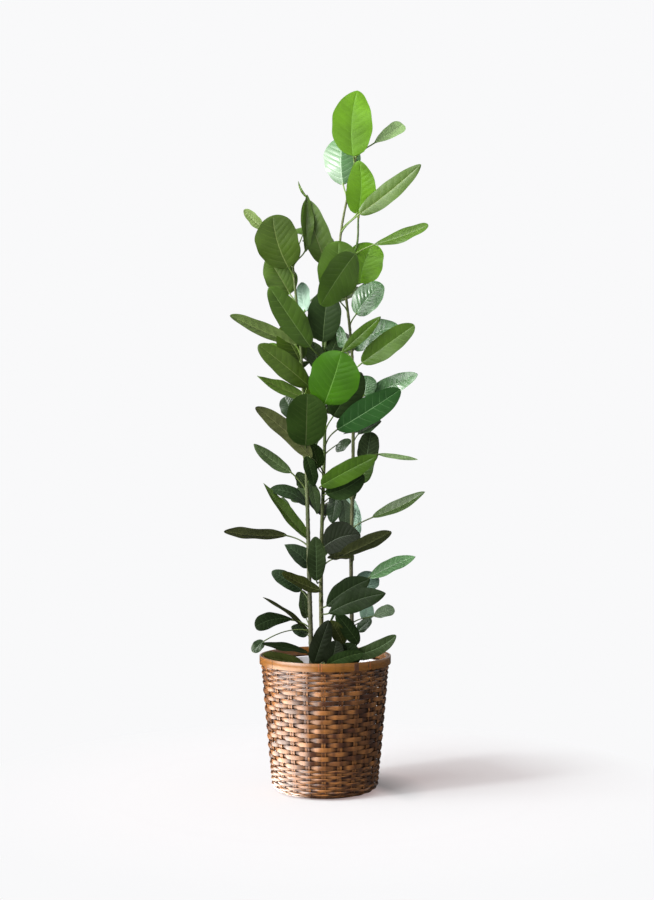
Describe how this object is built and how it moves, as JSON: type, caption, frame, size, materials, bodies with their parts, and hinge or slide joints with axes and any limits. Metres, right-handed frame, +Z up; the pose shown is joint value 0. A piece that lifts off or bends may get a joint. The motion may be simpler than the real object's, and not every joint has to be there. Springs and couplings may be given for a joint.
{
  "type": "potted bengal fig",
  "caption": "Tall slim bengal fig with broad oval leaves on upright stems, standing in its nursery pot inside a round woven bamboo basket.",
  "frame": {"origin": "centre of the basket's flat underside", "axes": "+Z up along the stems, -Y towards the viewer of the front, +X to that viewer's right"},
  "size_m": [0.441, 0.39, 1.508],
  "materials": {
    "bamboo": "gloss",
    "hoop_bamboo": "satin",
    "pot_plastic": "satin",
    "soil": "matte",
    "bark": "matte",
    "leaf_light": "satin",
    "leaf_mid": "satin",
    "leaf_dark": "satin"
  },
  "bodies": {
    "root": {"basket": "bamboo", "rim_hoop": "hoop_bamboo", "nursery_pot": "pot_plastic", "soil": "soil", "stem_left": "bark", "stem_centre": "bark", "stem_right": "bark", "foliage_crown_tip": "leaf_light", "foliage_crown_right": "leaf_light", "foliage_crown_heart": "leaf_light", "foliage_left_tip": "leaf_mid", "foliage_left_upper": "leaf_mid", "foliage_centre_upper": "leaf_dark", "foliage_right_upper": "leaf_mid", "foliage_front_middle": "leaf_light", "foliage_left_middle": "leaf_mid", "foliage_right_middle": "leaf_mid", "foliage_centre_low": "leaf_mid", "foliage_left_low": "leaf_dark", "foliage_right_low": "leaf_mid", "foliage_left_foot": "leaf_dark", "foliage_right_foot": "leaf_dark", "foliage_back_upper": "leaf_mid", "foliage_back_middle": "leaf_mid", "foliage_back_low": "leaf_dark"}
  },
  "joints": []
}
